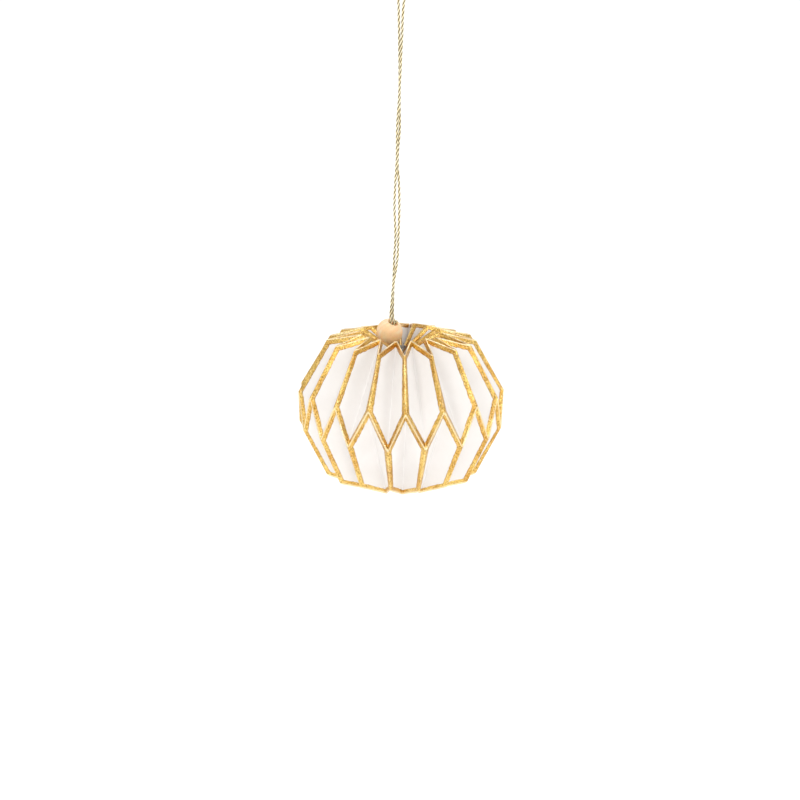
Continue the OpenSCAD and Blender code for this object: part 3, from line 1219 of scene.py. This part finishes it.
@dataclass
class Bead:
    """The wooden bead on the ridges of the top dimple."""

    diameter: float = 10.2 * MM
    bore: float = 3.8 * MM
    ease: float = 0.45 * MM
    lean: float = math.radians(27)
    turn: float = math.radians(45)

    def centre(self) -> Vector:
        """Gives the bead's centre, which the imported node's box gives too."""
        low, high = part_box(Part.BEAD.value)
        return (Vector(low) + Vector(high)) / 2

    def matrix(self) -> Matrix:
        """Gives the bead's place, with its bore along Z."""
        turned = Matrix.Rotation(-self.turn, 4, "Z") @ Matrix.Rotation(self.lean, 4, "Y")
        return Matrix.Translation(self.centre()) @ turned

    def build(self) -> bpy.types.Object:
        """Turns the bead from its profile, as on a lathe, and dresses it.

        Returns:
            The bead.
        """
        radius, bore_r = self.diameter / 2, self.bore / 2
        end_z = math.sqrt(radius ** 2 - (bore_r + self.ease) ** 2)
        start = math.atan2(end_z, bore_r + self.ease)
        outline = [(radius * math.cos(a), radius * math.sin(a))
                   for a in np.linspace(start, -start, 40)]
        ease_turns = np.linspace(0, math.pi / 2, 6)[1:]
        lower = [(bore_r + self.ease * (1 - math.sin(a)),
                  -end_z + self.ease * (1 - math.cos(a)) * 0.8) for a in ease_turns]
        upper = [(r, -z) for r, z in reversed(lower)]
        profile = outline + lower + upper
        deselect_all()
        bpy.ops.mesh.primitive_plane_add(size=1)
        piece = bpy.context.active_object
        piece.name = piece.data.name = "turned_bead"
        shape = bmesh.new()
        corners = [shape.verts.new((r, 0, z)) for r, z in profile]
        for a, b in zip(corners, corners[1:] + corners[:1]):
            shape.edges.new((a, b))
        shape.to_mesh(piece.data)
        shape.free()
        bpy.ops.object.mode_set(mode="EDIT")
        bpy.ops.mesh.select_all(action="SELECT")
        bpy.ops.mesh.spin(steps=96, angle=2 * math.pi, center=(0, 0, 0), axis=(0, 0, 1))
        bpy.ops.mesh.select_all(action="SELECT")
        bpy.ops.mesh.remove_doubles(threshold=0.002 * MM)
        bpy.ops.mesh.normals_make_consistent(inside=False)
        bpy.ops.object.mode_set(mode="OBJECT")
        piece.matrix_world = self.matrix()
        place_in_mesh(piece)
        smooth(piece, 50)
        finish = WoodFinish().material(self.centre(), self.matrix().to_3x3())
        dress(piece, finish, Slot.WOOD)
        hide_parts(Part.BEAD.value)
        return piece


LEFT_STRAND = [
    (-4.75, -0.75, -135), (-4.35, -1.2, -133.7), (-4, -1.85, -132.1), (-4.25, -1.95, -130),
    (-3.9, -2.1, -125.5), (-3.25, -1.9, -118), (-1.8, -1.1, -108.5), (-1.4, -0.4, -99),
    (-1.15, -0.2, -88), (-1.4, 0.1, -78.5), (-1.95, 0.5, -70.4), (-1.2, 0.5, -58.5),
    (-1.35, 0.6, -50), (-1.4, 0.6, -40), (-1.65, 0.2, -26), (-2, 0, -12.7),
    (-2.3, 0, -3.2)]
LOOP_TOP = [(-1.7, 0, -1.2), (0, 0, -0.5), (1.7, 0, -1.2)]
RIGHT_STRAND = [
    (2.3, 0, -3.2), (0, 0, -12.7), (-0.65, -0.3, -26), (-1.2, -0.55, -40),
    (-1.7, -0.6, -50), (-2.2, -0.7, -58.5), (-2.25, -0.7, -70.4), (-2.7, -0.5, -78.5),
    (-3, -0.3, -88), (-2.55, -0.3, -99), (-3, -0.2, -108.5), (-3.2, -0.7, -118),
    (-3.3, -1.05, -125.5), (-3.3, -1.25, -130), (-2.95, -1.35, -132.5), (-3.1, -1, -134),
    (-3.55, -0.45, -135.3)]
CUT_END = [(-3.75, 0.35, -134.9), (-2.95, 0, -133.8), (-2.2, -0.5, -132.7),
           (-1.7, -1, -132.2)]


@dataclass
class TwistedStrand:
    """A cord of three plies wound round a path."""

    name: str
    stops: list[tuple[float, float, float]]
    reference: tuple[float, float, float] = (0, 1, 0)
    diameter: float = 1.0 * MM
    plies: int = 3
    lay: float = 6.3 * MM
    step: float = 0.3 * MM
    sides: int = 12
    ply_share: float = 0.245
    first_turn: float = 0.0

    def path(self) -> np.ndarray:
        """Gives close points on a smooth curve through the chosen stops.

        Returns:
            Points in the ornament's frame, evenly spaced.
        """
        stops = np.array(self.stops) * MM
        padded = np.vstack([stops[:1], stops, stops[-1:]])
        share = np.linspace(0, 1, 12, endpoint=False)[:, None]
        curve = [
            (2 * b + (c - a) * share + (2 * a - 5 * b + 4 * c - d) * share ** 2
             + (3 * b - a - 3 * c + d) * share ** 3) / 2
            for a, b, c, d in zip(padded, padded[1:], padded[2:], padded[3:])]
        dense = np.vstack(curve + [stops[-1:]])
        gaps = np.linalg.norm(np.diff(dense, axis=0), axis=1)
        reach = np.concatenate([[0], np.cumsum(gaps)])
        even = np.linspace(0, reach[-1], int(reach[-1] / self.step))
        return np.stack([np.interp(even, reach, dense[:, k]) for k in range(3)], axis=1)

    def frames(self, path: np.ndarray) -> tuple[np.ndarray, np.ndarray, np.ndarray]:
        """Gives the directions along and across a path.

        Args:
            path: The path's points, none of which run along the reference.

        Returns:
            Unit vectors along it and two across it.
        """
        along = unit(np.gradient(path, axis=0))
        across = unit(np.cross(self.reference, along))
        return along, across, np.cross(along, across)

    def ply(self, path: np.ndarray, number: int) -> bpy.types.Object:
        """Builds one ply, wound round the path.

        Args:
            path: The cord's path.
            number: Which ply.

        Returns:
            The ply, with a UV map along and round it.
        """
        _, across, over = self.frames(path)
        distance = np.arange(len(path)) * self.step
        turns = 2 * math.pi * (distance / self.lay + number / self.plies) + self.first_turn
        outward = np.cos(turns)[:, None] * across + np.sin(turns)[:, None] * over
        ply_r = self.diameter * self.ply_share
        wound = path + (self.diameter / 2 - ply_r) * outward
        along, _, _ = self.frames(wound)
        sideways = unit(np.cross(along, outward))
        outward = np.cross(sideways, along)
        around = np.linspace(0, 2 * math.pi, self.sides, endpoint=False)
        points = wound[:, None] + ply_r * (
            np.cos(around)[None, :, None] * outward[:, None]
            + np.sin(around)[None, :, None] * sideways[:, None])
        deselect_all()
        bpy.ops.mesh.primitive_cylinder_add(vertices=self.sides, radius=ply_r, depth=1)
        piece = bpy.context.active_object
        piece.name = f"{self.name}_ply_{number}"
        shape = bmesh.new()
        verts = [[shape.verts.new(p) for p in ring] for ring in points]
        uv_layer = shape.loops.layers.uv.new("lay")
        for i in range(len(path) - 1):
            for k in range(self.sides):
                after = (k + 1) % self.sides
                face = shape.faces.new((verts[i][k], verts[i][after],
                                        verts[i + 1][after], verts[i + 1][k]))
                corners = ((i, k), (i, k + 1), (i + 1, k + 1), (i + 1, k))
                for loop, (row, col) in zip(face.loops, corners):
                    loop[uv_layer].uv = (row * self.step / MM, col / self.sides)
        shape.faces.new(verts[0][::-1])
        shape.faces.new(verts[-1])
        bmesh.ops.recalc_face_normals(shape, faces=shape.faces)
        shape.to_mesh(piece.data)
        shape.free()
        return piece

    def build(self, material: bpy.types.Material) -> bpy.types.Object:
        """Builds and dresses the strand.

        Args:
            material: The yarn.

        Returns:
            The strand.
        """
        path = self.path()
        piece = join_pieces([self.ply(path, k) for k in range(self.plies)], self.name)
        make_active(piece)
        bpy.ops.object.shade_smooth()
        dress(piece, material, Slot.CORD)
        return piece


class HangingCord:
    """The cord's loop from the bead to its top, and the knot that it ends in."""

    KNOT_TURNS = 2.2
    KNOT_R = 1.1

    def __init__(self, bead: Bead) -> None:
        """Keeps the bead that the cord holds.

        Args:
            bead: The bead.
        """
        self.bead = bead

    def knot_stops(self) -> list[tuple[float, float, float]]:
        """Gives the turns of the knot inside the bead.

        Returns:
            Stops in millimetres.
        """
        turns = np.linspace(0, 2 * math.pi * self.KNOT_TURNS, 24)
        place = self.bead.matrix()
        return [tuple(place @ (MM * Vector((self.KNOT_R * math.cos(t), self.KNOT_R * math.sin(t),
                                            t / turns[-1] * 2.2 - 1.1))) / MM)
                for t in turns]

    def build(self, bead: bpy.types.Object) -> None:
        """Args:
            bead: The bead that hangs on it. Not used.
        """
        material = CordFinish().material()
        bore = tuple(self.bead.matrix().to_3x3() @ Vector((0, 0, 1)))
        knot = TwistedStrand("wound_knot", self.knot_stops(), bore).build(material)
        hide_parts(Part.KNOT.value)
        cut_end = TwistedStrand("cut_cord_end", CUT_END).build(material)
        strand = TwistedStrand("twisted_cord", LEFT_STRAND + LOOP_TOP + RIGHT_STRAND,
                               first_turn=math.radians(20))
        cord = strand.build(material)
        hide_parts(Part.CORD.value)


# The view


@dataclass(frozen=True)
class Studio:
    """The camera at the photograph's angle, the floor and the soft lights."""

    distance: float = 0.6
    elevation: float = math.radians(14.95)
    roll: float = math.radians(0.45)
    pixels_per_mm: float = 2.54
    centre_px: tuple[float, float] = (400.8, 404.6)
    floor_size: float = 40
    floor_drop: float = 0.42
    floor_glow: float = 0.42
    white_sky: float = 1.08

    def camera(self) -> None:
        """Adds the camera and makes it the scene's."""
        data = bpy.data.cameras.new("camera")
        data.sensor_width = 36
        seen = IMAGE_SIDE / self.pixels_per_mm * MM
        data.lens = data.sensor_width * self.distance / seen
        data.shift_x = (IMAGE_SIDE / 2 - self.centre_px[0]) / IMAGE_SIDE
        data.shift_y = (self.centre_px[1] - IMAGE_SIDE / 2) / IMAGE_SIDE
        camera = bpy.data.objects.new("camera", data)
        bpy.context.scene.collection.objects.link(camera)
        back = Vector((0, -math.cos(self.elevation), math.sin(self.elevation)))
        camera.location = Vector((0, 0, -HANG)) + self.distance * back
        turn = (-back).to_track_quat("-Z", "Y") @ Matrix.Rotation(
            self.roll, 3, "Z").to_quaternion()
        camera.rotation_euler = turn.to_euler()
        bpy.context.scene.camera = camera

    def floor(self) -> None:
        """Adds the plain pale floor, well below the ornament."""
        deselect_all()
        bpy.ops.mesh.primitive_plane_add(size=self.floor_size,
                                         location=(0, 0, -HANG - self.floor_drop))
        floor = bpy.context.active_object
        floor.name = "floor"
        material, _, _ = new_material(
            "Pale floor", Roughness=0.9, Base_Color=(0.8, 0.8, 0.8, 1),
            Emission_Color=(1, 1, 1, 1), Emission_Strength=self.floor_glow)
        floor.data.materials.append(material)

    def light(self, name: str, place: tuple[float, float, float], size: float,
              power: float) -> None:
        """Adds one soft square light that faces the ball.

        Args:
            name: The light's name.
            place: Its place from the ball's middle.
            size: Its side.
            power: Its power in watts.
        """
        data = bpy.data.lights.new(name, "AREA")
        data.size, data.energy = size, power
        lamp = bpy.data.objects.new(name, data)
        bpy.context.scene.collection.objects.link(lamp)
        lamp.location = Vector(place) + Vector((0, 0, -HANG))
        lamp.rotation_euler = (-Vector(place)).to_track_quat("-Z", "Y").to_euler()

    def build(self) -> None:
        """Adds the camera, the floor, the lights and the sky, and sets plain tones."""
        self.camera()
        self.floor()
        self.light("key", (-0.9, -0.7, 1.1), 0.4, 3.5)
        self.light("side", (1.1, -0.5, 0.7), 0.35, 2.5)
        self.light("front", (0.1, -1.1, 0.5), 0.4, 2.4)
        self.light("rim", (0.3, 1.0, 0.9), 0.8, 2)
        self.sky()
        bpy.context.scene.view_settings.view_transform = "Standard"
        bpy.context.scene.view_settings.look = "None"

    def sky(self) -> None:
        """Adds a pale sky: white to the camera, and softer on the side that lights the front."""
        world = bpy.data.worlds.new("studio")
        bpy.context.scene.world = world
        world.use_nodes = True
        background = next(n for n in world.node_tree.nodes if n.type == "BACKGROUND")
        tree = Tree(world.node_tree)
        way = tree.add("ShaderNodeSeparateXYZ", {
            0: tree.add("ShaderNodeTexCoord").outputs["Generated"]}).outputs
        sideways = tree.ramp(way[0], -0.9, 0.9, 0.84, 0.76)
        ahead = tree.ramp(way[1], 0.3, 0.8)
        ambient = tree.add("ShaderNodeMix", {
            0: ahead, 2: sideways, 3: self.white_sky}).outputs[0]
        seen = tree.add("ShaderNodeLightPath").outputs["Is Camera Ray"]
        strength = tree.add("ShaderNodeMix", {
            0: seen, 2: ambient, 3: self.white_sky}).outputs[0]
        tree.link(strength, background.inputs["Strength"])
        background.inputs["Color"].default_value = (1, 0.985, 0.965, 1)


def dress_node(part: Part, material: bpy.types.Material) -> None:
    """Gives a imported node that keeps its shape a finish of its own.

    Args:
        part: The node.
        material: The finish.
    """
    node = bpy.data.objects[part.value]
    node.data.materials.clear()
    node.data.materials.append(material)
    LOG.info("%s keeps its packed shape", part.value)


def main() -> None:
    """Builds the ornament's pieces in order, and the studio round them."""
    logging.basicConfig(level=logging.INFO, format="%(name)s: %(message)s")
    Studio().build()
    bead = Bead()
    HangingCord(bead).build(bead.build())
    PaperBall(SheetForm()).build()
    for finish, parts in ((STEEL, (Part.INNER_MAGNET, Part.OUTER_MAGNET)),
                          (THREAD, (Part.TOP_THREAD, Part.BOTTOM_THREAD))):
        material = finish.material()
        for part in parts:
            dress_node(part, material)


if __name__ == "__main__":
    main()
